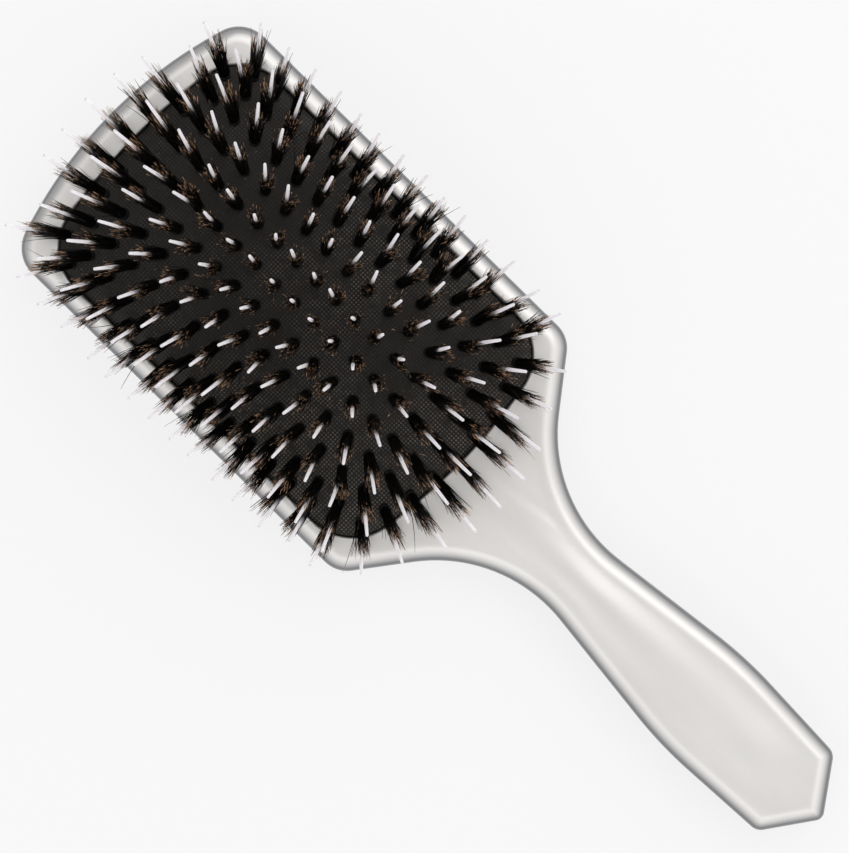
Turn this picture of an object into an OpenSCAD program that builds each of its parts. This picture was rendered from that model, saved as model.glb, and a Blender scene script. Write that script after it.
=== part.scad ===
// Paddle brush with an air-cushioned pad. The origin is on the flat back, under the middle of the pad.
// +X runs along the handle to its tip, +Y runs across, and +Z is the way the bristles point.

/* [Head] */
// Width of the head
head_w = 83.3; // [80:0.1:86]
// From the middle of the pad to the far end of the head
head_end = 66.4; // [65:0.1:70]
// From the middle of the pad to the shoulder corners
shoulder_x = 54.9; // [54:0.1:58]
// Bow of the far end, as the radius of its arc
end_bow_r = 117; // [90:1:160]
// Radius of the far corners, seen from above
corner_r = 9; // [7:0.5:12]

/* [Handle] */
// From the middle of the pad to the tip of the handle
handle_end = 184.6; // [175:0.1:195]
// Half width of the neck, where its sides would meet the shoulders
neck_half = 7.9; // [7:0.1:9]
// Half width of the grip at its widest, before rounding
grip_half = 15.4; // [14:0.1:17]
// Half width of the grip where its end starts to close
end_half = 13.8; // [12.5:0.1:14]

/* [Body section] */
// Thickness of the body
body_t = 14; // [13:0.5:16]
// How far the handle's underside has risen from the flat of the head at the tip
handle_lift = 1.2; // [0.8:0.1:1.4]
// Rounding of the edges round the front
front_r = 4.5; // [3.5:0.5:4.5]
// Rounding of the edges round the back
back_r = 6; // [4:0.5:6]
// Wall of the moulded shells
wall = 2; // [1.8:0.1:2.2]

/* [Cushion] */
// Length of the opening that shows the cushion
opening_l = 114.8; // [114:0.1:116]
// Width of that opening
opening_w = 72.2; // [72:0.1:73]
// Radius of the corners of the opening
opening_r = 14; // [12:0.5:15]
// Height of the cushion's crown over its edge
crown = 10; // [8:0.5:11]
// Thickness of the rubber
rubber_t = 1.6; // [1.4:0.1:1.8]
// How far the rubber's edge reaches under the face shell
flange_w = 1.9; // [1.6:0.1:2]

/* [Tufts] */
// Length of a nylon pin over the rubber
pin_l = 25; // [20:0.5:28]
// Diameter of a nylon pin
pin_d = 0.95; // [0.8:0.05:1]
// Length of a bristle bundle over the rubber
bristle_l = 19; // [12:0.5:19]
// Diameter of a bundle where the anchor holds it
bundle_d = 2.5; // [2.3:0.1:2.5]
// Diameter of a bundle at its spread end
bundle_spread_d = 4.2; // [3:0.1:4.6]
// Diameter of an anchor's sleeve
anchor_d = 3; // [3:0.05:3.1]
// Diameter of an anchor's foot, behind the rubber
foot_d = 4.2; // [3.8:0.1:4.4]

/* [Hidden] */
$fn = 32;

// Steps in each rounded corner of an outline, an even number
arc_steps = 8;
// Steps in each rounded edge of a shell
edge_steps = 5;
// Least radius left in a corner when the outline is inset past it
least_r = 0.3;
// Gap between parts that only lie beside each other
gap = 0.2;

// Height of the joint line between the two shells
split_z = 7.5;
// Locating tongue along that joint line
tongue_h = 1.2;
tongue_gap = 0.1;

// Height of the face shell's inner face, and of the rubber's flange below it
ceiling_z = body_t - wall;
flange_top = ceiling_z - gap;
flange_bottom = flange_top - rubber_t;
// Height of the cushion's edge at the opening
cushion_edge_z = body_t - 1.3;

// Retaining frame under the flange, and the posts that carry it
frame_t = 1.6;
frame_w = 2.8;
frame_bottom = flange_bottom - gap - frame_t;
post_d = 3;
peg_d = 1.4;
post_out = 1.5;
post_xs = [-42, -14, 14, 42];

// Cross ribs in the hollow handle
rib_xs = [84, 104, 124, 144, 162];
rib_t = 1.4;
rib_top = 7;
rib_inset = 2.6;
rib_bottom = wall - 0.4;

// Rows of tufts from the centre line out, the same on both sides:
// [distance from the centre line, tufts in the row, their spacing, shift towards the handle]
tuft_rows = [
    [0, 17, 6.75, 0.8],
    [7.3, 17, 6.75, 0.8],
    [14.4, 16, 7.13, 0.8],
    [21.4, 15, 7.25, 1.4],
    [27.8, 15, 7.3, -0.8],
    [32.7, 14, 7.05, -0.8]
];
rings = len(tuft_rows);

// How far tufts lean: the run along x and across y for each unit of rise, at the tuft position
// lean_at. Along x the run grows as the cube of the distance, and across as it and its cube.
lean_at = [53.5, 32.7];
lean_x = 0.9;
lean_y = [0.42, 0.14];
// Share of each run that is lost in the corners
lean_x_lost = 0.6;
lean_y_lost = 0.3;

// ---- Outlines ----

// A corner is [x, y, radius]. Outlines run clockwise, seen from above.
tip_half_angle = 54.8;
tip_r = 2.5;
shoulder_slope = 1.31;
shoulder_r = 8;
neck_r = 40;
grip_x = 143.2;
grip_r = 110;
end_r = 3.5;

function side_y() = head_w / 2;
// Half chord of the bowed far end, and the point where the lines of its ends would meet
function bow_half() = side_y() - 0.8 * corner_r;
function bow_tilt() = asin(bow_half() / end_bow_r);
function bow_apex() = -head_end - end_bow_r * (1 / cos(bow_tilt()) - 1);
function tip_apex() = handle_end + tip_r * (1 / sin(tip_half_angle) - 1);

// Corners of the body from the far end to the tip, on the +Y side
function body_half() = [
    [bow_apex(), 0, end_bow_r],
    [bow_apex() + side_y() * tan(bow_tilt()), side_y(), corner_r],
    [shoulder_x, side_y(), shoulder_r],
    [shoulder_x + (side_y() - neck_half) / shoulder_slope, neck_half, neck_r],
    [grip_x, grip_half, grip_r],
    [tip_apex() - end_half / tan(tip_half_angle), end_half, end_r],
    [tip_apex(), 0, tip_r]
];

// The opening's short ends are bowed too, between its corners' arcs
opening_bow_r = 146;
opening_bow_half = opening_w / 2 - opening_r + 1;
function opening_tilt() = asin(opening_bow_half / opening_bow_r);
function opening_apex() = opening_l / 2 + opening_bow_r * (1 / cos(opening_tilt()) - 1);
function opening_corner() = opening_apex() - opening_w / 2 * tan(opening_tilt());

// Corners of the opening, on the +Y side
function opening_half() = [
    [-opening_apex(), 0, opening_bow_r],
    [-opening_corner(), opening_w / 2, opening_r],
    [opening_corner(), opening_w / 2, opening_r],
    [opening_apex(), 0, opening_bow_r]
];

function xy(p) = [p.x, p.y];
function mirrored(p) = [p.x, -p.y, p.z];
function unit(v) = v / norm(v);
function left_of(v) = [-v.y, v.x];
function turned(v, a) = [v.x * cos(a) - v.y * sin(a), v.x * sin(a) + v.y * cos(a)];
function direction(a, b) = unit(xy(b) - xy(a));
function last(list) = list[len(list) - 1];

// The neighbours of corner i, where an end corner's other neighbour is the mirrored one
function before(c, i) = i == 0 ? mirrored(c[1]) : c[i - 1];
function after(c, i) = i == len(c) - 1 ? mirrored(c[i - 1]) : c[i + 1];
function turn(c, i) =
    let (u = direction(before(c, i), c[i]), v = direction(c[i], after(c, i)))
    atan2(u.x * v.y - u.y * v.x, u * v);

// Corners moved inward by d, square to their edges, with the radii that keep the edges parallel
function inset(c, d) = [
    for (i = [0:len(c) - 1])
        let (
            n = left_of(direction(before(c, i), c[i])),
            m = left_of(direction(c[i], after(c, i))),
            p = xy(c[i]) - d * (n + m) / (1 + n * m),
            r = turn(c, i) < 0 ? max(c[i].z - d, least_r) : c[i].z + d
        )
        [p.x, p.y, r]
];

// Points round corner i, from step a to step b of its arc
function rounded(c, i, a, b) =
    let (
        u = direction(before(c, i), c[i]),
        t = turn(c, i),
        r = c[i].z,
        start = xy(c[i]) - u * r * tan(abs(t) / 2),
        centre = start + sign(t) * r * left_of(u)
    )
    [for (k = [a:b]) centre + turned(start - centre, t * k / arc_steps)];

// The +Y half of an outline, from axis to axis
function half_outline(c) = [
    each rounded(c, 0, arc_steps / 2, arc_steps),
    for (i = [1:len(c) - 2]) each rounded(c, i, 0, arc_steps),
    each rounded(c, len(c) - 1, 0, arc_steps / 2)
];
function whole(half) = [
    each half,
    for (i = [len(half) - 2:-1:1]) [half[i].x, -half[i].y]
];
function outline(c, d = 0) = whole(half_outline(inset(c, d)));

// Splits each straight stretch longer than step
function divided(points, step) = [
    for (i = [0:len(points) - 1])
        let (
            p = points[i],
            q = points[(i + 1) % len(points)],
            n = ceil(norm(q - p) / step)
        )
        for (k = [0:n - 1]) p + (q - p) * k / n
];

// ---- Solids from outlines ----

function at_height(points, z) = [for (p = points) [p.x, p.y, z]];

// Rings of an outline for a list of [inset, height]
function outline_rings(c, profile) = [for (s = profile) at_height(outline(c, s[0]), s[1])];

// A quarter round from a wall to a face: [inset, height] pairs, first to last
function quarter(r, d, z, up = 1) = [
    for (k = [0:edge_steps])
        [d + r * (1 - cos(90 * k / edge_steps)), z + up * r * sin(90 * k / edge_steps)]
];
function reversed(list) = [for (i = [len(list) - 1:-1:0]) list[i]];

// Faces between rings a and b of n points each, given the first index of each
function band(a, b, n) = [
    for (i = [0:n - 1])
        let (j = (i + 1) % n)
        each [[a + i, a + j, b + j], [a + i, b + j, b + i]]
];
function flipped(faces) = [for (f = faces) reversed(f)];

// A closed skin through rings of equal count, with a cap facing down on the first and up on the last
module loft(levels) {
    n = len(levels[0]);
    top = (len(levels) - 1) * n;
    sides = [for (j = [0:len(levels) - 2]) each band(j * n, (j + 1) * n, n)];
    up = [
        for (i = [0:n / 2 - 1])
            let (a = i, b = i + 1, c = n - i - 1, d = (n - i) % n)
            each [if (b != c) [a, b, c], if (a != d) [a, c, d]]
    ];
    down = flipped(up);
    polyhedron(
        points = [for (l = levels) each l],
        faces = [each sides, each down, for (f = up) [top + f[0], top + f[1], top + f[2]]],
        convexity = 8
    );
}

// Past this x, the face shell's outline is joined to the near end of the opening
handle_from = shoulder_x + 10;

// How far round a point lies, from 180 at the far end to 0, and under 0 past x = limit
function way_round(p, limit) = p.x > limit ? -1 : atan2(abs(p.y), p.x);

// Triangles between half outlines a and b, as [index on a, index on a, index on b] and the like,
// where those of b count from base
function zipped(a, b, base, limit, i = 0, j = 0) =
    i == len(a) - 1 && j == len(b) - 1 ? [] :
    let (
        last_a = i == len(a) - 1,
        b_first = j < len(b) - 1 && way_round(b[j + 1], limit) > way_round(a[i + 1], limit)
    )
    last_a || b_first
        ? [[i, base + j + 1, base + j], each zipped(a, b, base, limit, i, j + 1)]
        : [[i, i + 1, base + j], each zipped(a, b, base, limit, i + 1, j)];

// Triangles facing up between outline a, whose points count from 0, and the mouth b inside it
function collar_faces(a, b, limit) =
    let (
        n = len(a),
        m = len(b),
        half = zipped(
            [for (i = [0:n / 2]) a[i]],
            [for (j = [0:m / 2]) b[j]],
            n, limit
        ),
        across = function (k) k < n ? (n - k) % n : n + (m - (k - n)) % m
    )
    [each half, for (f = half) [across(f[2]), across(f[1]), across(f[0])]];

function renumbered(faces, n, first_a, first_b) = [
    for (f = faces) [for (k = f) k < n ? first_a + k : first_b + k - n]
];

// A closed skin from the inside of a shell over its rim to its outside, with a mouth through it.
// The mouth's rings run from the outer face to the inner one.
module mouthed(levels, mouth, limit) {
    n = len(levels[0]);
    m = len(mouth[0]);
    outer = (len(levels) - 1) * n;
    first = len(levels) * n;
    inner = first + (len(mouth) - 1) * m;
    over = collar_faces(last(levels), mouth[0], limit);
    under = flipped(collar_faces(levels[0], last(mouth), limit));
    polyhedron(
        points = [for (l = levels) each l, for (l = mouth) each l],
        faces = [
            for (j = [0:len(levels) - 2]) each band(j * n, (j + 1) * n, n),
            for (j = [0:len(mouth) - 2]) each band(first + j * m, first + (j + 1) * m, m),
            each renumbered(over, n, outer, first),
            each renumbered(under, n, 0, inner)
        ],
        convexity = 8
    );
}

// ---- The cushion's shape ----

dome_a = opening_l / 2;
dome_b = opening_w / 2;
function cosh(v) = (exp(v) + exp(-v)) / 2;
function in_degrees(v) = v * 180 / PI;

// Height of a skin held by a rectangle's edge and blown up, as a share of its crown
function bulge_term(x, y, n) =
    let (k = n * PI / 2 / dome_b, s = (n % 4 == 1) ? 1 : -1)
    32 / pow(PI * n, 3) * s * cosh(k * x) / cosh(k * dome_a) * cos(in_degrees(k * y));
function bulge(x, y) =
    1 - pow(y / dome_b, 2)
    - bulge_term(x, y, 1) - bulge_term(x, y, 3) - bulge_term(x, y, 5) - bulge_term(x, y, 7);
bulge_peak = bulge(0, 0);
function dome_z(x, y) = cushion_edge_z + crown * max(bulge(x, y), 0) / bulge_peak;

// The way a tuft points at x, y. Near the edge it leans further than the rubber's slope.
function tuft_way(x, y) =
    let (u = x / lean_at.x, v = y / lean_at.y)
    unit([
        lean_x * u ^ 3 * (1 - lean_x_lost * v ^ 2),
        (lean_y[0] * v + lean_y[1] * v ^ 3) * (1 - lean_y_lost * u ^ 4),
        1
    ]);

// ---- Where the tufts are ----

function tuft_x(row, i) =
    let (r = tuft_rows[row])
    r[3] + (i - (r[1] - 1) / 2) * r[2];

// Ring 1 is the middle line and the last ring runs next to the edge
function ring_of(row, i) =
    rings - min(rings - 1 - row, min(i, tuft_rows[row][1] - 1 - i));

// All tufts of one ring, as [x, y]. Ring 0 stands for every ring.
function tufts(ring) = [
    for (row = [0:rings - 1]) for (i = [0:tuft_rows[row][1] - 1])
        if (ring == 0 || ring_of(row, i) == ring)
            for (side = row == 0 ? [1] : [1, -1])
                [tuft_x(row, i), side * tuft_rows[row][0]]
];

// Places its child at each tuft of a ring, with z = 0 on the rubber's outer face
module at_tufts(ring) {
    for (t = tufts(ring)) {
        n = tuft_way(t.x, t.y);
        translate([t.x, t.y, dome_z(t.x, t.y)])
            rotate([0, acos(n.z), atan2(n.y, n.x)])
                children();
    }
}

// ---- Tuft pieces, each turned about its own axis ----

foot_t = 0.9;
foot_top = -rubber_t - 0.6;
foot_bottom = foot_top - foot_t;
cup_floor = foot_bottom + 0.6;
cup_wall = 0.2;
collar_h = 1.1;
root_gap = 0.05;

// A sleeve closed below, with a foot that keeps it from being pulled out through the rubber
module anchor(foot_r) {
    r = anchor_d / 2;
    rotate_extrude()
        polygon([
            [0, foot_bottom],
            [foot_r, foot_bottom],
            [foot_r, foot_top],
            if (foot_r > r) [r, foot_top],
            [r, collar_h - cup_wall],
            [r - cup_wall / 2, collar_h],
            [r - cup_wall, collar_h],
            [r - cup_wall, cup_floor],
            [0, cup_floor]
        ]);
}

module bundle() {
    bore = pin_d / 2 + root_gap;
    root = bundle_d / 2;
    spread = bundle_spread_d / 2;
    bottom = cup_floor + root_gap;
    rotate_extrude()
        polygon([
            [bore, bottom],
            [root, bottom],
            [root, collar_h],
            [spread, bristle_l - 1],
            [spread * 0.7, bristle_l],
            [bore, bristle_l]
        ]);
}

module pin() {
    r = pin_d / 2;
    tip_steps = 3;
    tip_angle = 75;
    rotate_extrude()
        polygon([
            [0, cup_floor + root_gap],
            [r, cup_floor + root_gap],
            for (k = [0:tip_steps])
                let (a = tip_angle * k / tip_steps)
                [r * cos(a), pin_l - r + r * sin(a)],
            [0, pin_l - r + r * sin(tip_angle)]
        ]);
}

// ---- Moulded shells ----

// Half of each shell's rim stands up as a tongue, or is cut away for it
rebate_d = wall / 2;

module posts() {
    for (x = post_xs) for (side = [1, -1])
        translate([x, side * (opening_w / 2 + post_out), wall / 2]) {
            cylinder(d = post_d, h = frame_bottom - wall / 2);
            cylinder(d = peg_d, h = frame_bottom - wall / 2 + frame_t);
        }
}

module ribs() {
    side = half_outline(body_half());
    for (x = rib_xs) {
        half = lookup(x, side) - rib_inset;
        translate([x - rib_t / 2, -half, rib_bottom])
            cube([rib_t, 2 * half, rib_top - rib_bottom]);
    }
}

// The same points, raised towards the tip of the handle, and less so near the joint line
function risen(points) = [
    for (p = points)
        let (
            along = max(0, p.x - shoulder_x) / (handle_end - shoulder_x),
            depth = max(0, 1 - p.z / split_z)
        )
        [p.x, p.y, p.z + handle_lift * along * depth]
];

module back_shell() {
    inner_r = back_r - wall;
    outer = reversed(quarter(back_r, 0, back_r, -1));
    rim = [
        [0, split_z],
        [rebate_d, split_z],
        [rebate_d, split_z + tongue_h],
        [wall, split_z + tongue_h]
    ];
    inner = quarter(inner_r, wall, back_r, -1);
    color("silver") {
        loft([for (l = outline_rings(body_half(), [each outer, each rim, each inner])) risen(l)]);
        posts();
        ribs();
    }
}

// The opening's edge is rounded by as much as the rim beside it leaves
module face_shell() {
    turn_z = body_t - front_r;
    inner = reversed(quarter(front_r - wall, wall, turn_z));
    rim = [
        [wall, split_z + tongue_h + tongue_gap],
        [rebate_d - tongue_gap, split_z + tongue_h + tongue_gap],
        [rebate_d - tongue_gap, split_z],
        [0, split_z]
    ];
    outer = quarter(front_r, 0, turn_z);
    lip_r = (head_w - opening_w) / 2 - front_r - gap;
    lip = [for (s = reversed(quarter(lip_r, 0, body_t - lip_r))) [-s[0], s[1]]];
    color("silver")
        mouthed(
            outline_rings(body_half(), [each inner, each rim, each outer]),
            outline_rings(opening_half(), [each lip, [0, ceiling_z]]),
            handle_from
        );
}

module cushion_frame() {
    color("dimgray")
        translate([0, 0, frame_bottom])
            difference() {
                linear_extrude(frame_t)
                    polygon(outline(opening_half(), -frame_w));
                translate([0, 0, -1])
                    linear_extrude(frame_t + 2)
                        polygon(outline(opening_half(), -gap));
                for (x = post_xs) for (side = [1, -1])
                    translate([x, side * (opening_w / 2 + post_out), -1])
                        cylinder(d = peg_d + gap, h = frame_t + 2);
            }
}

// ---- Rubber cushion ----

// Shares of the way out from the middle, closer together where the rubber curves more
dome_shares = [0.14, 0.3, 0.46, 0.61, 0.75, 0.87, 0.95, 1];
dome_step = 8;

module cushion() {
    edge = divided(outline(opening_half(), gap), dome_step);
    function dome_ring(share, drop) = [
        for (p = edge) [share * p.x, share * p.y, dome_z(share * p.x, share * p.y) - drop]
    ];
    function spread(points, d) = [
        for (i = [0:len(points) - 1])
            let (
                n = len(points),
                v = unit(points[(i + 1) % n] - points[(i + n - 1) % n])
            )
            points[i] + d * left_of(v)
    ];
    color("#232323")
        difference() {
            loft([
                for (s = dome_shares) if (s < 1) dome_ring(s, rubber_t),
                at_height(spread(edge, -rubber_t), flange_bottom),
                at_height(spread(edge, flange_w), flange_bottom),
                at_height(spread(edge, flange_w), flange_top),
                at_height(edge, flange_top),
                for (s = reversed(dome_shares)) dome_ring(s, 0)
            ]);
            at_tufts(0)
                translate([0, 0, foot_bottom])
                    cylinder(d = anchor_d + gap, h = 2 * collar_h - foot_bottom);
        }
}

// ---- Tuft rings ----

// The rubber's side wall leaves no room for feet in the outermost ring
module anchors(ring) {
    color("#1a1a1a")
        at_tufts(ring) anchor((ring < rings ? foot_d : anchor_d) / 2);
}

module bristles(ring) {
    color("#2a1c14")
        at_tufts(ring) bundle();
}

module pins(ring) {
    color("white")
        at_tufts(ring) pin();
}

back_shell();
face_shell();
cushion_frame();
cushion();
anchors(1);  // anchors_ring_1
anchors(2);  // anchors_ring_2
anchors(3);  // anchors_ring_3
anchors(4);  // anchors_ring_4
anchors(5);  // anchors_ring_5
anchors(6);  // anchors_ring_6
bristles(1);  // bristles_ring_1
bristles(2);  // bristles_ring_2
bristles(3);  // bristles_ring_3
bristles(4);  // bristles_ring_4
bristles(5);  // bristles_ring_5
bristles(6);  // bristles_ring_6
pins(1);  // pins_ring_1
pins(2);  // pins_ring_2
pins(3);  // pins_ring_3
pins(4);  // pins_ring_4
pins(5);  // pins_ring_5
pins(6);  // pins_ring_6
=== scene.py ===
"""Looks of the paddle brush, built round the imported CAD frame.

Sizes are in millimetres until a mesh is made.
"""

import math
import random

import bmesh
import bpy
from mathutils import Matrix, Vector, geometry, kdtree


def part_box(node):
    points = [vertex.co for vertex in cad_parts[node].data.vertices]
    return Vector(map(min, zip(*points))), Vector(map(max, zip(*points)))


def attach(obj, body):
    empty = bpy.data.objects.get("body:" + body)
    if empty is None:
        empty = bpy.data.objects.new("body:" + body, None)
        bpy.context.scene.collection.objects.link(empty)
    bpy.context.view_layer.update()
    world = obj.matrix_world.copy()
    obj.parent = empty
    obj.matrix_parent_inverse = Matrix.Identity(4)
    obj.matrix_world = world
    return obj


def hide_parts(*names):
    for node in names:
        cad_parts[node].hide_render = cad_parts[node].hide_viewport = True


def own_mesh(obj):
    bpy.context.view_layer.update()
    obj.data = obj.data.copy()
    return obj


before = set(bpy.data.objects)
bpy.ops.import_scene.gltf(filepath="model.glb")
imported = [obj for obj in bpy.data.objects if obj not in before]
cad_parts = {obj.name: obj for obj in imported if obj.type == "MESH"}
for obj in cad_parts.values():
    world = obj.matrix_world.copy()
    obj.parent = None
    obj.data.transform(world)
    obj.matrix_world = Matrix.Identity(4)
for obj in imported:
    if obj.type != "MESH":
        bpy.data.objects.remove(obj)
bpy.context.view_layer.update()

MM = 0.001


# ---- Sizes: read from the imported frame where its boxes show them, and else as in the part's source ----

def box_mm(node):
    """The low and high corners of a node's box."""
    low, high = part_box(node)
    return low / MM, high / MM


FACE_LOW, FACE_HIGH = box_mm("face_shell")
CUSHION_HIGH = box_mm("cushion")[1]

# The body: where it ends, where the shoulders are, its joint line and the rounding of its edges
HEAD_END = -FACE_LOW.x
HANDLE_END = FACE_HIGH.x
SHOULDER_X = 54.9
SIDE_Y = FACE_HIGH.y
BODY_T = FACE_HIGH.z
SPLIT_Z = FACE_LOW.z
FRONT_R = 4.5
BACK_R = 6.0
HANDLE_LIFT = 1.2
WALL = 2.0
SEAM = 0.16
CEILING_Z = BODY_T - WALL

# The cushion: its edge lies CUSHION_SUNK below the face, and its flange is held behind the opening
RUBBER_T = 1.6
FLANGE_W = 1.9
GAP = 0.2
CUSHION_SUNK = 1.3
OPENING_HALF_L = CUSHION_HIGH.x - FLANGE_W + GAP
OPENING_HALF_W = CUSHION_HIGH.y - FLANGE_W + GAP
CUSHION_EDGE_Z = BODY_T - CUSHION_SUNK
CROWN = CUSHION_HIGH.z - CUSHION_EDGE_Z
FLANGE_TOP = CEILING_Z - GAP
FLANGE_BOTTOM = FLANGE_TOP - RUBBER_T

# The tufts: lengths are above the rubber, and ROOT_Z is where pins and bristles start below it
PIN_L = 25.0
PIN_R = 0.475
BRISTLE_L = 19.0
BUNDLE_R = 1.3
ROOT_Z = -2.0

RINGS = 6
# Rows of tufts from the centre line out: distance from it, tufts, spacing, shift towards the handle
TUFT_ROWS = (
    (0.0, 17, 6.75, 0.8),
    (7.3, 17, 6.75, 0.8),
    (14.4, 16, 7.13, 0.8),
    (21.4, 15, 7.25, 1.4),
    (27.8, 15, 7.3, -0.8),
    (32.7, 14, 7.05, -0.8),
)


# ---- Outlines and curves. Corners are (x, y, radius), clockwise from the far end over +Y to the tip ----

ARC_STEPS = 20
EDGE_STEPS = 12
LEAST_R = 0.3
TIP_HALF_ANGLE = math.radians(54.8)
TIP_R = 2.5


def body_corners():
    bow_r, corner_r, shoulder_r = 117.0, 9.0, 8.0
    neck_r, grip_r, end_r = 40.0, 110.0, 3.5
    neck_half, grip_half, end_half = 7.9, 15.4, 13.8
    shoulder_slope, grip_x = 1.31, 143.2
    bow_half = SIDE_Y - 0.8 * corner_r
    tilt = math.asin(bow_half / bow_r)
    apex = -HEAD_END - bow_r * (1 / math.cos(tilt) - 1)
    tip = HANDLE_END + TIP_R * (1 / math.sin(TIP_HALF_ANGLE) - 1)
    return [
        (apex, 0.0, bow_r),
        (apex + SIDE_Y * math.tan(tilt), SIDE_Y, corner_r),
        (SHOULDER_X, SIDE_Y, shoulder_r),
        (SHOULDER_X + (SIDE_Y - neck_half) / shoulder_slope, neck_half, neck_r),
        (grip_x, grip_half, grip_r),
        (tip - end_half / math.tan(TIP_HALF_ANGLE), end_half, end_r),
        (tip, 0.0, TIP_R),
    ]


def opening_corners():
    bow_r, corner_r = 146.0, 14.0
    bow_half = OPENING_HALF_W - corner_r + 1
    tilt = math.asin(bow_half / bow_r)
    apex = OPENING_HALF_L + bow_r * (1 / math.cos(tilt) - 1)
    corner_x = apex - OPENING_HALF_W * math.tan(tilt)
    return [
        (-apex, 0.0, bow_r),
        (-corner_x, OPENING_HALF_W, corner_r),
        (corner_x, OPENING_HALF_W, corner_r),
        (apex, 0.0, bow_r),
    ]


def left_of(v):
    """v turned a quarter to its left."""
    return Vector((-v.y, v.x))


def edge_directions(corners, i):
    """The directions of the edges into and out of corner i, where an end's other neighbour is mirrored."""
    here = Vector(corners[i][:2])
    before = corners[i - 1] if i else (corners[1][0], -corners[1][1])
    after = corners[i + 1] if i + 1 < len(corners) else (corners[i - 1][0], -corners[i - 1][1])
    return (here - Vector(before[:2])).normalized(), (Vector(after[:2]) - here).normalized()


def turn_at(corners, i):
    """The angle by which the outline turns at corner i, below zero where it turns clockwise."""
    u, v = edge_directions(corners, i)
    return math.atan2(u.x * v.y - u.y * v.x, u.dot(v))


def inset(corners, d):
    """The corners of the outline that lies d further in."""
    moved = []
    for i, (x, y, r) in enumerate(corners):
        u, v = edge_directions(corners, i)
        n, m = left_of(u), left_of(v)
        p = Vector((x, y)) - d * (n + m) / (1 + n.dot(m))
        moved.append((p.x, p.y, max(r - d, LEAST_R) if turn_at(corners, i) < 0 else r + d))
    return moved


def rounded(corners, i, first=0, last=ARC_STEPS):
    """Points first to last of the arc at corner i, which has ARC_STEPS steps in all."""
    x, y, r = corners[i]
    u, _ = edge_directions(corners, i)
    turn = turn_at(corners, i)
    start = Vector((x, y)) - u * r * math.tan(abs(turn) / 2)
    centre = start + math.copysign(r, turn) * left_of(u)
    return [
        centre + Matrix.Rotation(turn * k / ARC_STEPS, 2) @ (start - centre)
        for k in range(first, last + 1)
    ]


def outline(corners, d=0.0):
    """The whole closed outline, d further in than its corners say."""
    c = inset(corners, d)
    half = rounded(c, 0, first=ARC_STEPS // 2)
    for i in range(1, len(c) - 1):
        half += rounded(c, i)
    half += rounded(c, len(c) - 1, last=ARC_STEPS // 2)
    return half + [Vector((p.x, -p.y)) for p in reversed(half[1:-1])]


def divided(points, step, pattern=None):
    """The same closed outline, with each stretch split into as many parts as that of pattern needs."""
    pattern = pattern or points
    out = []
    for i, p in enumerate(points):
        q = points[(i + 1) % len(points)]
        stretch = pattern[(i + 1) % len(pattern)] - pattern[i]
        n = max(1, math.ceil(stretch.length / step))
        out += [p.lerp(q, k / n) for k in range(n)]
    return out


def inside(points, x, y):
    """Whether (x, y) lies inside a closed outline."""
    hit = False
    for i, p in enumerate(points):
        q = points[i - 1]
        if (p.y > y) != (q.y > y) and x < (q.x - p.x) * (y - p.y) / (q.y - p.y) + p.x:
            hit = not hit
    return hit


def quarter(r, d, z, up=1):
    """A quarter round from a wall to a face, as (inset, height) pairs."""
    angles = [math.pi / 2 * k / EDGE_STEPS for k in range(EDGE_STEPS + 1)]
    return [(d + r * (1 - math.cos(a)), z + up * r * math.sin(a)) for a in angles]


def smooth(t):
    """0 up to t = 0 and 1 from t = 1 on, with an even rise in between."""
    t = max(0.0, min(1.0, t))
    return t * t * (3 - 2 * t)


def spaced(low, high, step):
    """Numbers from low up to high, step apart."""
    while low < high:
        yield low
        low += step


BODY = body_corners()
OPENING = opening_corners()


# ---- Mesh building ----

class Build:
    """Points and faces of one piece, in millimetres."""

    def __init__(self):
        self.points = []
        self.faces = []

    def add(self, x, y, z):
        self.points.append((x, y, z))
        return len(self.points) - 1

    def ring(self, points, z):
        """A closed ring of points at height z."""
        return [self.add(p.x, p.y, z) for p in points]

    def bridge(self, a, b):
        """The band of faces between two rings."""
        n = len(a)
        self.faces += [(a[i], a[(i + 1) % n], b[(i + 1) % n], b[i]) for i in range(n)]

    def rings(self, corners, profile):
        """A wall whose rings follow one outline, each at an (inset, height) pair of profile."""
        made = [self.ring(outline(corners, d), z) for d, z in profile]
        for a, b in zip(made, made[1:]):
            self.bridge(a, b)
        return made

    def fill(self, outer, hole=(), extra=()):
        """Triangles between ring outer and ring hole, through the points of extra, all seen from above."""
        merge_within = 1e-6
        ids = list(outer) + list(hole) + list(extra)
        flat = [Vector(self.points[i][:2]) for i in ids]
        n, m = len(outer), len(hole)
        loops = [(i, (i + 1) % n) for i in range(n)]
        loops += [(n + i, n + (i + 1) % m) for i in range(m)]
        verts, _, faces, origins, _, _ = geometry.delaunay_2d_cdt(flat, loops, [], 1, merge_within, True)
        outer_points, hole_points = flat[:n], flat[n:n + m]
        for face in faces:
            own = [origins[v][0] for v in face]
            middle = sum((verts[v] for v in face), Vector((0, 0))) / 3
            if max(own) < n and not inside(outer_points, *middle):
                continue
            if n <= min(own) and max(own) < n + m and inside(hole_points, *middle):
                continue
            self.faces.append(tuple(ids[i] for i in own))

    def piece(self, name, body, slot, material, sharp=None, recalc=True):
        """The finished object, riding its body. Edges over sharp degrees stay sharp."""
        mesh = bpy.data.meshes.new(name)
        mesh.from_pydata([Vector(p) * MM for p in self.points], [], self.faces)
        if recalc:
            bm = bmesh.new()
            bm.from_mesh(mesh)
            bmesh.ops.recalc_face_normals(bm, faces=bm.faces)
            bm.to_mesh(mesh)
            bm.free()
        mesh.shade_smooth()
        if sharp:
            mesh.set_sharp_from_angle(angle=math.radians(sharp))
        mesh.materials.append(material)
        obj = bpy.data.objects.new(name, mesh)
        bpy.context.scene.collection.objects.link(obj)
        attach(obj, body)
        return obj


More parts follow.
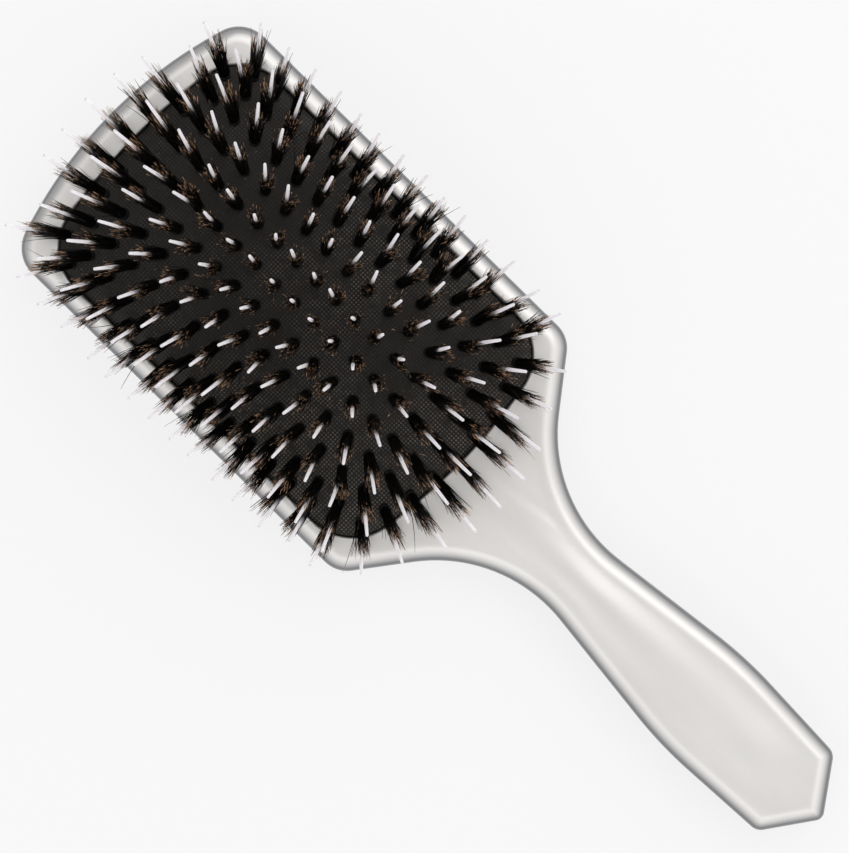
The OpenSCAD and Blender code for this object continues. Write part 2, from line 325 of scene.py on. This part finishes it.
def store(piece, **attributes):
    """Keeps one number for each point of the mesh, for its material to read."""
    for name, values in attributes.items():
        piece.data.attributes.new(name, "FLOAT", "POINT").data.foreach_set("value", values)


def flat_faces_lead(piece):
    """Lets large flat faces set the shading, so that they look flat up to their rounded edges."""
    weighted = piece.modifiers.new("flat_faces_lead", "WEIGHTED_NORMAL")
    weighted.keep_sharp = True
    weighted.weight = 100


# ---- The cushion's shape, and where the tufts stand ----

def bulge(x, y):
    """The height of a skin held at a rectangle's edge and blown up, by the first terms of its series.

    It is counted in the height that the middle of an endless strip of the same width has.
    """
    a, b = OPENING_HALF_L, OPENING_HALF_W
    value = 1 - (y / b) ** 2
    for n in (1, 3, 5, 7):
        k = n * math.pi / 2 / b
        term = (32 if n % 4 == 1 else -32) / (math.pi * n) ** 3
        value -= term * math.cosh(k * x) / math.cosh(k * a) * math.cos(k * y)
    return max(value, 0.0)


BULGE_PEAK = bulge(0, 0)


def dome_z(x, y):
    """The height of the rubber between its tufts."""
    return CUSHION_EDGE_Z + CROWN * bulge(x, y) / BULGE_PEAK


# How far tufts lean: the run along x and across y for each unit of rise, at the tuft position LEAN_AT
LEAN_AT = (53.5, 32.7)
LEAN_X = 0.9
LEAN_Y = (0.42, 0.14)
# The share of the lean along each way that is lost where the tuft stands far out the other way
LEAN_X_LOST = 0.6
LEAN_Y_LOST = 0.3


def tuft_way(x, y):
    """The way a tuft points: near the edge, further out than the rubber's slope."""
    u, v = x / LEAN_AT[0], y / LEAN_AT[1]
    run_x = LEAN_X * u ** 3 * (1 - LEAN_X_LOST * v ** 2)
    run_y = (LEAN_Y[0] * v + LEAN_Y[1] * v ** 3) * (1 - LEAN_Y_LOST * u ** 4)
    return Vector((run_x, run_y, 1)).normalized()


def tufts():
    """Every tuft as (ring, foot on the rubber, direction). Ring 1 is the middle line."""
    out = []
    for row, (y, count, pitch, shift) in enumerate(TUFT_ROWS):
        for i in range(count):
            ring = RINGS - min(RINGS - 1 - row, i, count - 1 - i)
            x = shift + (i - (count - 1) / 2) * pitch
            for side in ((1,) if row == 0 else (1, -1)):
                foot = Vector((x, side * y, dome_z(x, y)))
                out.append((ring, foot, tuft_way(x, side * y)))
    return out


TUFTS = tufts()


def ring_tufts(ring):
    """The tufts of one ring, as (foot, direction)."""
    return [(foot, up) for number, foot, up in TUFTS if number == ring]


# ---- Materials ----

class Nodes:
    """A node tree with short helpers."""

    def __init__(self, tree):
        self.tree = tree

    def node(self, kind, **settings):
        made = self.tree.nodes.new(kind)
        for key, value in settings.items():
            setattr(made, key, value)
        return made

    def link(self, a, b):
        self.tree.links.new(a, b)

    def feed(self, socket, value):
        """Links value to the socket if it is a socket too, and else sets it there."""
        if hasattr(value, "is_linked"):
            self.link(value, socket)
        else:
            socket.default_value = value

    def parts(self, vector):
        """The x, y and z of a vector."""
        split = self.node("ShaderNodeSeparateXYZ")
        self.link(vector, split.inputs[0])
        return split.outputs[0], split.outputs[1], split.outputs[2]

    def math(self, operation, a, b=0.0):
        made = self.node("ShaderNodeMath", operation=operation)
        self.feed(made.inputs[0], a)
        self.feed(made.inputs[1], b)
        return made.outputs[0]

    def span(self, value, low, high, out_low=0.0, out_high=1.0):
        """value carried from the range low to high over to out_low to out_high, and held at its ends."""
        made = self.node("ShaderNodeMapRange")
        for key, number in zip(range(1, 5), (low, high, out_low, out_high)):
            made.inputs[key].default_value = number
        self.feed(made.inputs[0], value)
        return made.outputs[0]


class Look(Nodes):
    """A material with one shader."""

    def __init__(self, name):
        self.material = bpy.data.materials.new(name)
        self.material.use_nodes = True
        super().__init__(self.material.node_tree)
        self.tree.nodes.clear()
        self.output = self.node("ShaderNodeOutputMaterial")
        self.shader = self.node("ShaderNodeBsdfPrincipled")
        self.link(self.shader.outputs["BSDF"], self.output.inputs["Surface"])
        self.place = self.node("ShaderNodeTexCoord").outputs["Object"]

    def set(self, **inputs):
        """Feeds the shader's inputs, with _ for the spaces in their names."""
        for key, value in inputs.items():
            self.feed(self.shader.inputs[key.replace("_", " ")], value)

    def noise(self, size_mm, detail=2.0, stretch=(1, 1, 1)):
        """Noise with features about size_mm wide, longer where stretch is over 1."""
        mapping = self.node("ShaderNodeMapping")
        mapping.inputs["Scale"].default_value = [1 / (size_mm * MM * s) for s in stretch]
        self.link(self.place, mapping.inputs["Vector"])
        made = self.node("ShaderNodeTexNoise")
        made.inputs["Scale"].default_value = 1.0
        made.inputs["Detail"].default_value = detail
        self.link(mapping.outputs["Vector"], made.inputs["Vector"])
        return made.outputs["Fac"]

    def mix(self, factor, a, b):
        made = self.node("ShaderNodeMix", data_type="RGBA")
        self.feed(made.inputs[0], factor)
        self.feed(made.inputs[6], a)
        self.feed(made.inputs[7], b)
        return made.outputs[2]

    def bump(self, height, distance_mm, strength=1.0, normal=None):
        made = self.node("ShaderNodeBump")
        made.inputs["Strength"].default_value = strength
        made.inputs["Distance"].default_value = distance_mm * MM
        self.feed(made.inputs["Height"], height)
        if normal:
            self.link(normal, made.inputs["Normal"])
        return made.outputs["Normal"]

    def attribute(self, name):
        return self.node("ShaderNodeAttribute", attribute_name=name).outputs["Fac"]


def grey(v, warm=0.0):
    """A grey of strength v, with its red raised and its blue lowered by the share warm."""
    return (v * (1 + warm), v, v * (1 - warm), 1)


def silver_lacquer():
    """Pearl-silver paint on moulded plastic: soft streaks, and painted shade where a rounded edge turns away
    from the camera and from the sky.
    """
    look = Look("silver_lacquer")
    dull, bright, flake = grey(0.73, 0.03), grey(0.79, 0.028), grey(0.80, 0.026)
    # Painted shade: the dark base colour of rounded edges that turn away, standing in for the dark
    # surroundings they reflect.
    edge_shade_colour = (0.17, 0.175, 0.185, 1)
    flakes = look.noise(0.7, detail=1)
    streaks = look.noise(9, detail=2, stretch=(5, 1, 1))
    facing = look.node("ShaderNodeLayerWeight").outputs["Facing"]
    up = look.math("ABSOLUTE", look.parts(look.node("ShaderNodeTexCoord").outputs["Normal"])[2])
    # Painted shade mask: high where the surface turns from both the camera and the sky; there the base colour
    # goes dark and the coat thins.
    edge_shade_mask = look.math("MINIMUM", look.span(facing, 0.05, 0.5), look.span(up, 0.97, 0.6))
    face_tone = look.mix(look.span(streaks, 0.35, 0.65), dull, bright)
    face_tone = look.mix(look.span(flakes, 0.3, 0.7, 0.0, 0.25), face_tone, flake)
    haze = look.noise(14, detail=3)
    look.set(
        Base_Color=look.mix(edge_shade_mask, face_tone, edge_shade_colour),
        Metallic=0.65,
        Roughness=look.span(haze, 0.3, 0.7, 0.29, 0.34),
        Coat_Weight=look.span(edge_shade_mask, 0.5, 1.0, 0.5, 0.1),
        Coat_Roughness=0.1,
        Normal=look.bump(look.noise(30), 0.05, 0.2),
    )
    return look.material


def cushion_rubber():
    """Black rubber moulded on cloth: a square weave whose raised points are painted a little grey as
    highlights, patchy and weaker towards the far end of the head as painted shade, with dust.
    """
    look = Look("cushion_rubber")
    thread, speck = 0.8 * MM, 1.9 * MM
    # The middle colour is a painted highlight: the grey of light catching the weave's raised points.
    black, peak_highlight_grey, dust_brown = grey(0.017, 0.17), grey(0.20, 0.12), (0.22, 0.13, 0.07, 1)
    x, y, _ = look.parts(look.place)
    wave_x = look.math("SINE", look.math("MULTIPLY", x, 2 * math.pi / thread))
    wave_y = look.math("SINE", look.math("MULTIPLY", y, 2 * math.pi / thread))
    weave = look.span(look.math("ADD", wave_x, wave_y), -2, 2)
    uneven = look.noise(2.2, detail=3)
    patches = look.span(look.noise(26, detail=1), 0.38, 0.6, 0.15)
    # Painted shade: the highlight falls to 0.3 of its strength towards the far end of the head.
    painted_far_end_shade = look.span(x, -45 * MM, 15 * MM, 0.3, 1.0)
    peak_highlight_share = look.math("MULTIPLY", look.span(uneven, 0.3, 0.7), patches)
    peak_highlight_share = look.math("MULTIPLY", peak_highlight_share, painted_far_end_shade)
    # This is the painted highlight on the weave's raised points, made patchy by the random unevenness and
    # weaker by the painted shade at the far end.
    raised = look.math("MULTIPLY", look.span(weave, 0.5, 0.95), peak_highlight_share)
    specks = look.node("ShaderNodeTexVoronoi", feature="F1")
    specks.inputs["Scale"].default_value = 1 / speck
    look.link(look.place, specks.inputs["Vector"])
    dust = look.span(specks.outputs["Distance"], 0.07, 0.10, 1.0, 0.0)
    dust = look.math("MULTIPLY", dust, look.span(look.noise(5), 0.5, 0.6))
    look.set(
        Base_Color=look.mix(dust, look.mix(raised, black, peak_highlight_grey), dust_brown),
        Roughness=look.span(uneven, 0.3, 0.7, 0.5, 0.62),
        Specular_IOR_Level=0.22,
        Normal=look.bump(weave, 0.12, 0.8, look.bump(look.noise(6), 0.12, 0.3)),
    )
    return look.material


def anchor_black():
    """Glossy black plastic, a little uneven."""
    look = Look("anchor_black")
    uneven = look.noise(0.5, detail=2)
    look.set(
        Base_Color=look.mix(look.span(uneven, 0.3, 0.7), grey(0.008), grey(0.02)),
        Roughness=look.span(uneven, 0.3, 0.7, 0.35, 0.5),
        Normal=look.bump(uneven, 0.03, 0.4),
    )
    return look.material


def frame_plastic():
    """Dull dark plastic with a fine grain."""
    look = Look("frame_plastic")
    grain = look.noise(0.4, detail=2)
    look.set(
        Base_Color=look.mix(grain, grey(0.02), grey(0.035)),
        Roughness=0.6,
        Normal=look.bump(grain, 0.02, 0.4),
    )
    return look.material


def natural_bristle():
    """Black bristle that turns brown or amber at the tip. along and tone are stored on the mesh."""
    look = Look("natural_bristle")
    black, brown, amber = grey(0.005, 0.2), (0.05, 0.022, 0.011, 1), (0.70, 0.41, 0.24, 1)
    along, tone = look.attribute("along"), look.attribute("tone")
    start = look.span(tone, 0.0, 1.0, 0.95, 0.82)
    tipped = look.span(look.math("SUBTRACT", along, start), 0.0, 0.1)
    look.set(
        Base_Color=look.mix(tipped, black, look.mix(tone, brown, amber)),
        Roughness=look.span(tone, 0, 1, 0.4, 0.5),
        Specular_IOR_Level=look.span(along, 0.5, 0.9, 0.15, 0.4),
        Normal=look.bump(look.noise(0.3, stretch=(1, 1, 4)), 0.02, 0.3),
    )
    return look.material


def clear_nylon():
    """Milky nylon. Its free end glows a little, as painted light; its root is painted dark, as shade among
    the dark bristles round it; its very tip is painted greyer, as shade that tones down its highlight.
    """
    look = Look("clear_nylon")
    milky, white, painted_tip_shade, painted_root_shade = (
        (0.78, 0.76, 0.79, 1), (0.84, 0.82, 0.84, 1), (0.55, 0.54, 0.56, 1), (0.05, 0.055, 0.065, 1)
    )
    cloud = look.noise(1.6, detail=1)
    along = look.attribute("along")
    # Below the bundle's top the pin's colour is painted shade, near black for the dark bristles round it;
    # above, the pin glows a little as painted light.
    free = look.span(along, 0.42, 0.6)
    shank = look.mix(cloud, milky, white)
    # Painted shade: the last bit of the round tip is greyer, to tone down the highlight on it.
    tip_shaded = look.mix(look.span(along, 0.985, 0.995), shank, painted_tip_shade)
    look.set(
        Base_Color=look.mix(free, painted_root_shade, tip_shaded),
        Roughness=0.3,
        IOR=1.53,
        Transmission_Weight=0.12,
        Subsurface_Weight=0.25,
        Subsurface_Radius=(0.9, 0.9, 0.95),
        Subsurface_Scale=0.6 * MM,
        Emission_Color=(1, 0.97, 1, 1),
        Emission_Strength=look.math("MULTIPLY", free, look.span(cloud, 0.3, 0.7, 0.16, 0.21)),
        Normal=look.bump(cloud, 0.02, 0.3),
    )
    return look.material


def floor_paper():
    """White paper that glows, so that it stays nearly white in the brush's own shadow."""
    look = Look("floor_paper")
    fibre = look.noise(1.2, detail=3)
    look.set(
        Base_Color=look.mix(fibre, grey(0.20), grey(0.205)),
        Roughness=0.9,
        Specular_IOR_Level=0.0,
        Emission_Color=(1, 1, 1, 1),
        Emission_Strength=0.735,
    )
    return look.material


# ---- Pieces ----

def neck_hollow(x, y):
    """How deep the face dips beside the two creases that run from the pad out to the neck's edges."""
    start, end, start_y, end_y = 58.0, 116.0, 0.5, 10.0
    fall, depth = 1.6, 0.14
    t = (x - start) / (end - start)
    if not 0 < t < 1:
        return 0.0
    crease_y = start_y + (end_y - start_y) * t
    return depth * math.sin(math.pi * t) * smooth((abs(y) - crease_y) / fall)


def half_width(side, x):
    """How far out an outline is at x, where side holds the points of its +Y side."""
    for p, q in zip(side, side[1:]):
        if p.x <= x <= q.x and q.x > p.x:
            return p.y + (q.y - p.y) * (x - p.x) / (q.x - p.x)
    return 0.0


def handle_points(build):
    """Points over the handle's face, raised to a low crown along its middle.

    The crown grows from the head on and fades out before the tip. No point is nearer to the edge than clear.
    """
    step, clear, flat_edge, start = 0.9, 0.6, 2.5, OPENING_HALF_L + 3.0
    crown, grows_from, grows_over, fades_over = 0.9, 62.0, 45.0, 22.0
    edge, safe = outline(BODY, FRONT_R), outline(BODY, FRONT_R + clear)
    side = edge[:len(edge) // 2 + 1]
    found = []
    for x in spaced(start, HANDLE_END, step):
        half = half_width(side, x)
        rise = smooth((x - grows_from) / grows_over) * smooth((HANDLE_END - FRONT_R - x) / fades_over)
        for y in spaced(-SIDE_Y, SIDE_Y, step):
            if abs(y) < half - clear and inside(safe, x, y):
                raised = crown * rise * (1 - (y / half) ** 2) ** 2
                dip = neck_hollow(x, y) * smooth((half - abs(y)) / flat_edge)
                found.append(build.add(x, y, BODY_T + raised - dip))
    return found


def lacquered_face(silver):
    """The front moulding: rounded rim, opening with a rolled lip, and the crowned face of the handle."""
    build = Build()
    turn_z = BODY_T - FRONT_R
    inner = list(reversed(quarter(FRONT_R - WALL, WALL, turn_z)))
    rim = [(WALL, SPLIT_Z), (SEAM, SPLIT_Z), (0.0, SPLIT_Z + SEAM)]
    walls = build.rings(BODY, inner + rim + quarter(FRONT_R, 0.0, turn_z))
    # The rounding of the opening's lip takes up what the rim beside it leaves
    roll = SIDE_Y - OPENING_HALF_W - FRONT_R - GAP
    lip = [(-d, z) for d, z in quarter(roll, 0.0, BODY_T - roll)]
    mouth = build.rings(OPENING, [(0.0, CEILING_Z)] + lip)
    build.fill(walls[-1], mouth[-1], handle_points(build))
    build.fill(walls[0], mouth[0])
    piece = build.piece("lacquered_face", "body", "silver_lacquer", silver, sharp=50)
    flat_faces_lead(piece)
    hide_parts("face_shell")


def risen(x, y, z):
    """A point of the back, raised towards the tip of the handle, and less so near the joint line."""
    along = max(0.0, x - SHOULDER_X) / (HANDLE_END - SHOULDER_X)
    return x, y, z + HANDLE_LIFT * along * max(0.0, 1 - z / SPLIT_Z)


def lacquered_back(silver):
    """The back moulding: a flat back with rounded edges, hollow, up to the joint line."""
    build = Build()
    outer = list(reversed(quarter(BACK_R, 0.0, BACK_R, -1)))
    rim = [(0.0, SPLIT_Z - SEAM), (SEAM, SPLIT_Z), (WALL, SPLIT_Z)]
    walls = build.rings(BODY, outer + rim + quarter(BACK_R - WALL, WALL, BACK_R, -1))
    build.fill(walls[0])
    build.fill(walls[-1])
    build.points = [risen(*p) for p in build.points]
    piece = build.piece("lacquered_back", "body", "silver_lacquer", silver, sharp=50)
    flat_faces_lead(piece)
    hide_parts("back_shell")


def tuft_feet():
    """A search tree over the tufts' feet, seen from above."""
    feet = kdtree.KDTree(len(TUFTS))
    for i, (_, foot, _) in enumerate(TUFTS):
        feet.insert((foot.x, foot.y, 0), i)
    feet.balance()
    return feet


def grid(build, limit, pitch, height):
    """Points on a square grid inside the outline limit, each at height(x, y)."""
    found = []
    nx, ny = int(OPENING_HALF_L / pitch), int(OPENING_HALF_W / pitch)
    for i in range(-nx, nx + 1):
        for j in range(-ny, ny + 1):
            x, y = i * pitch, j * pitch
            if inside(limit, x, y):
                found.append(build.add(x, y, height(x, y)))
    return found


def rubber_cushion(rubber):
    """The crowned pad with a low mound round each tuft, and the flange that holds it."""
    build = Build()
    step, under_step = 0.9, 4.0
    mound, mound_reach = 0.45, 1.9
    inner, top_clear, under_clear = GAP + 1.7, GAP + 0.6, GAP + 3.5
    feet, edge = tuft_feet(), outline(OPENING, GAP)

    def skin_z(x, y):
        away = feet.find((x, y, 0))[2]
        return dome_z(x, y) + mound * math.exp(-(away / mound_reach) ** 2)

    rings = [[build.add(p.x, p.y, dome_z(p.x, p.y)) for p in divided(edge, step)]]
    build.fill(rings[0], (), grid(build, outline(OPENING, top_clear), step, skin_z))
    flange = ((GAP, FLANGE_TOP), (-FLANGE_W, FLANGE_TOP), (-FLANGE_W, FLANGE_BOTTOM), (inner, FLANGE_BOTTOM))
    for d, z in flange:
        rings.append(build.ring(divided(outline(OPENING, d), step, edge), z))
    for a, b in zip(rings, rings[1:]):
        build.bridge(a, b)
    under = grid(build, outline(OPENING, under_clear), under_step, lambda x, y: dome_z(x, y) - RUBBER_T)
    build.fill(rings[-1], (), under)
    piece = build.piece("rubber_cushion", "body", "cushion_rubber", rubber, sharp=50)
    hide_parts("cushion")
    squash_with_press(piece)


def squash_with_press(piece):
    """Gives the pad its own copy of its mesh.
    """
    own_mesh(piece)


def side_axes(direction):
    """Two directions square to direction and to each other."""
    first = direction.orthogonal().normalized()
    return first, direction.cross(first)


def leaned(direction, angle, around):
    """direction tipped by angle, towards the side named by around."""
    a, b = side_axes(direction)
    side = a * math.cos(around) + b * math.sin(around)
    return (direction * math.cos(angle) + side * math.sin(angle)).normalized()


def strand(build, path, radii, sides, axes):
    """A thin solid along path, closed at both ends, with radii at the path's points."""
    a, b = axes
    first = len(build.points)
    for p, r in zip(path, radii):
        for k in range(sides):
            angle = 2 * math.pi * k / sides
            build.add(*(p + a * r * math.cos(angle) + b * r * math.sin(angle)))
    for level in range(len(path) - 1):
        low, high = first + level * sides, first + (level + 1) * sides
        for k in range(sides):
            m = (k + 1) % sides
            build.faces.append((low + k, low + m, high + m, high + k))
    build.faces.append(tuple(first + k for k in reversed(range(sides))))
    last = first + (len(path) - 1) * sides
    build.faces.append(tuple(last + k for k in range(sides)))


PIN_SIDES = 12


def pin_profile(length):
    """Stops along a pin and its radius at each: a shank that thins towards its end, and a round tip."""
    levels, tip_steps, tip_round = 6, 3, 0.22
    root_more, end_less = 0.04, 0.2
    shares = [k / levels for k in range(levels + 1)]
    stops = [ROOT_Z + (length - tip_round - ROOT_Z) * t for t in shares]
    radii = [PIN_R * (1 + root_more * (1 - t) - end_less * max(0.0, 2 * t - 1) ** 2) for t in shares]
    shank_r = radii[-1]
    for k in range(1, tip_steps + 1):
        angle = math.pi / 2 * k / tip_steps
        stops.append(length - tip_round + tip_round * math.sin(angle))
        radii.append(shank_r - tip_round * (1 - math.cos(angle)))
    return stops, radii


def nylon_pins(ring, material):
    """The pins of one ring, each with a small lean and bend of its own."""
    rand = random.Random(100 + ring)
    lean_spread, bend_spread = 2.0, 0.35
    build = Build()
    along = []
    for foot, up in ring_tufts(ring):
        lean = leaned(up, math.radians(abs(rand.gauss(0, lean_spread))), rand.uniform(0, 2 * math.pi))
        bend = rand.gauss(0, bend_spread)
        axes = side_axes(lean)
        length = PIN_L * rand.uniform(0.975, 1.015)
        stops, radii = pin_profile(length)
        path = [foot + lean * s + axes[0] * bend * (max(s, 0) / length) ** 2 for s in stops]
        strand(build, path, radii, PIN_SIDES, axes)
        for stop in stops:
            along += [stop / length] * PIN_SIDES
    piece = build.piece(f"nylon_pins_{ring}", f"tuft_ring_{ring}", "nylon", material, sharp=60, recalc=False)
    store(piece, along=along)
    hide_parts(f"pins_ring_{ring}")


BRISTLES_PER_TUFT = 96
BRISTLE_SIDES = 3
# Where along a bristle its path has points, and the shares of the full length that bristles have
BRISTLE_STOPS = (0.0, 0.25, 0.5, 0.72, 0.88, 1.0)
LENGTH_SHARES = (0.68, 0.76, 0.82, 0.87, 0.96)
CLUMPS = 9
CLUMP_REACH = (1.0, 3.1)
STRAY_CHANCE = 0.012
BROWN_CHANCE = 0.75


def bristle_ends(rand, clumps):
    """Where a bristle starts and ends across its bundle. Its tip is drawn towards one of the clumps."""
    pin_clear, tip_clear, spread, stray = PIN_R + 0.1, PIN_R + 0.25, 2.2, 0.22
    around = rand.uniform(0, 2 * math.pi)
    out = pin_clear + (BUNDLE_R - pin_clear) * math.sqrt(rand.random())
    root = (math.cos(around) * out, math.sin(around) * out)
    clump_angle, clump_out = rand.choice(clumps)
    pull = rand.uniform(0.15, 0.8)
    free_out = spread * out / BUNDLE_R * rand.uniform(0.6, 1.5)
    tip = [
        pull * clump_out * f(clump_angle) + (1 - pull) * free_out * f(around) + rand.gauss(0, stray)
        for f in (math.cos, math.sin)
    ]
    near = math.hypot(*tip)
    if near < tip_clear:
        tip = [v * tip_clear / max(near, 0.01) for v in tip]
    return root, tip


def bristle(rand, clumps):
    """One bristle: its place across the bundle at each stop, its length, its thickness and its tip's tone."""
    stray_out, stray_length, swing_spread = 2.6, 1.12, 0.18
    root, tip = bristle_ends(rand, clumps)
    length = BRISTLE_L * rand.choice(LENGTH_SHARES) * rand.uniform(0.96, 1.04)
    if rand.random() < STRAY_CHANCE:
        tip = [v * stray_out for v in tip]
        length *= stray_length
    swing = [rand.gauss(0, swing_spread), rand.gauss(0, swing_spread)]
    thick = rand.uniform(0.09, 0.13)
    tone = rand.random() ** 1.1 if rand.random() < BROWN_CHANCE else 0.0
    course = []
    for t in BRISTLE_STOPS:
        ease, wave = t ** 1.8, math.sin(math.pi * t)
        course.append([r * (1 - ease) + e * ease + w * wave for r, e, w in zip(root, tip, swing)])
    return course, length, thick, tone


def bristle_bundles(ring, material):
    """The bundles of one ring, each bristle of them on its own. Their tips gather in loose clumps."""
    rand = random.Random(300 + ring)
    lean_spread, tip_thinner = 2.5, 0.62
    build = Build()
    along, tones = [], []
    for foot, up in ring_tufts(ring):
        core = leaned(up, math.radians(abs(rand.gauss(0, lean_spread))), rand.uniform(0, 2 * math.pi))
        a, b = side_axes(core)
        clumps = [(rand.uniform(0, 2 * math.pi), rand.uniform(*CLUMP_REACH)) for _ in range(CLUMPS)]
        for _ in range(BRISTLES_PER_TUFT):
            course, length, thick, tone = bristle(rand, clumps)
            path = [
                foot + core * (ROOT_Z + (length - ROOT_Z) * t) + a * s + b * c
                for t, (s, c) in zip(BRISTLE_STOPS, course)
            ]
            radii = [thick * (1 - tip_thinner * t ** 3) for t in BRISTLE_STOPS]
            strand(build, path, radii, BRISTLE_SIDES, (a, b))
            along += [t for t in BRISTLE_STOPS for _ in range(BRISTLE_SIDES)]
            tones += [tone] * len(BRISTLE_STOPS) * BRISTLE_SIDES
    piece = build.piece(f"bristle_bundles_{ring}", f"tuft_ring_{ring}", "bristle", material, recalc=False)
    store(piece, along=along, tone=tones)
    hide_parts(f"bristles_ring_{ring}")


def finish_cad_node(node, material):
    """Keeps the CAD's own mesh for a node, and gives it its material."""
    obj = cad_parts[node]
    obj.data.materials.clear()
    obj.data.materials.append(material)


# ---- Stage ----

def soft_light(name, place, target, size, power):
    """A rectangular lamp at place that shines on target, in metres and watts."""
    data = bpy.data.lights.new(name, "AREA")
    data.shape = "RECTANGLE"
    data.size, data.size_y = size
    data.energy = power
    lamp = bpy.data.objects.new(name, data)
    lamp.location = place
    lamp.rotation_euler = (Vector(target) - Vector(place)).to_track_quat("-Z", "Y").to_euler()
    bpy.context.scene.collection.objects.link(lamp)


def studio_sky():
    """Soft boxes all round: a bright belt over a dimmer horizon, and dimmer past the far end of the head."""
    strength, far_share = 1.15, 0.45
    belt = ((0.0, 0.75), (0.25, 0.95), (0.82, 1.0), (0.965, 0.66), (1.0, 0.62))
    world = bpy.data.worlds.new("studio_sky")
    world.use_nodes = True
    sky = Nodes(world.node_tree)
    x, _, z = sky.parts(sky.node("ShaderNodeTexCoord").outputs["Generated"])
    ramp = sky.node("ShaderNodeValToRGB")
    ramp.color_ramp.interpolation = "EASE"
    while len(ramp.color_ramp.elements) < len(belt):
        ramp.color_ramp.elements.new(0.5)
    for element, (height, value) in zip(ramp.color_ramp.elements, belt):
        element.position = height
        element.color = grey(value)
    sky.link(z, ramp.inputs[0])
    background = sky.tree.nodes["Background"]
    sky.link(ramp.outputs[0], background.inputs["Color"])
    sky.link(sky.span(x, -0.9, -0.15, far_share * strength, strength), background.inputs["Strength"])
    return world


def studio():
    """A soft key light, the sky and a plain pale floor just under the brush."""
    scene = bpy.context.scene
    scene.world = studio_sky()
    scene.view_settings.view_transform = "Standard"
    soft_light("key", place=(-0.25, 0.55, 0.75), target=(0.045, 0, 0), size=(1.1, 1.1), power=2.0)
    mesh = bpy.data.meshes.new("floor")
    reach, drop = 8.0, -0.0003
    corners = [(-reach, -reach, drop), (reach, -reach, drop), (reach, reach, drop), (-reach, reach, drop)]
    mesh.from_pydata(corners, [], [(0, 1, 2, 3)])
    floor = bpy.data.objects.new("floor", mesh)
    floor.data.materials.append(floor_paper())
    scene.collection.objects.link(floor)


def camera():
    """Looks nearly straight down on the head, with the handle to the lower right.

    The view is as wide as seen says at the height of the joint line, and that is distance below the camera.
    """
    distance, seen = 865.0, 214.5
    plane_z = SPLIT_Z
    spot = Vector((50.0, 27.8, plane_z + distance))
    target = Vector((44.9, 0.1, plane_z))
    roll = math.radians(44.5)
    back = (spot - target).normalized()
    up_hint = Vector((-math.sin(roll), math.cos(roll), 0))
    right = up_hint.cross(back).normalized()
    up = back.cross(right)
    data = bpy.data.cameras.new("camera")
    data.sensor_width = 36.0
    data.lens = data.sensor_width * distance / seen
    data.clip_start, data.clip_end = 0.01, 10
    cam = bpy.data.objects.new("camera", data)
    cam.matrix_world = Matrix.Translation(spot * MM) @ Matrix((right, up, back)).transposed().to_4x4()
    bpy.context.scene.collection.objects.link(cam)
    bpy.context.scene.camera = cam


def brush():
    """Every piece of the brush. Those that the CAD models well enough keep their CAD mesh."""
    silver = silver_lacquer()
    lacquered_face(silver)
    lacquered_back(silver)
    rubber_cushion(cushion_rubber())
    nylon, hair, black = clear_nylon(), natural_bristle(), anchor_black()
    for ring in range(1, RINGS + 1):
        nylon_pins(ring, nylon)
        bristle_bundles(ring, hair)
        finish_cad_node(f"anchors_ring_{ring}", black)
    finish_cad_node("cushion_frame", frame_plastic())


brush()
studio()
camera()
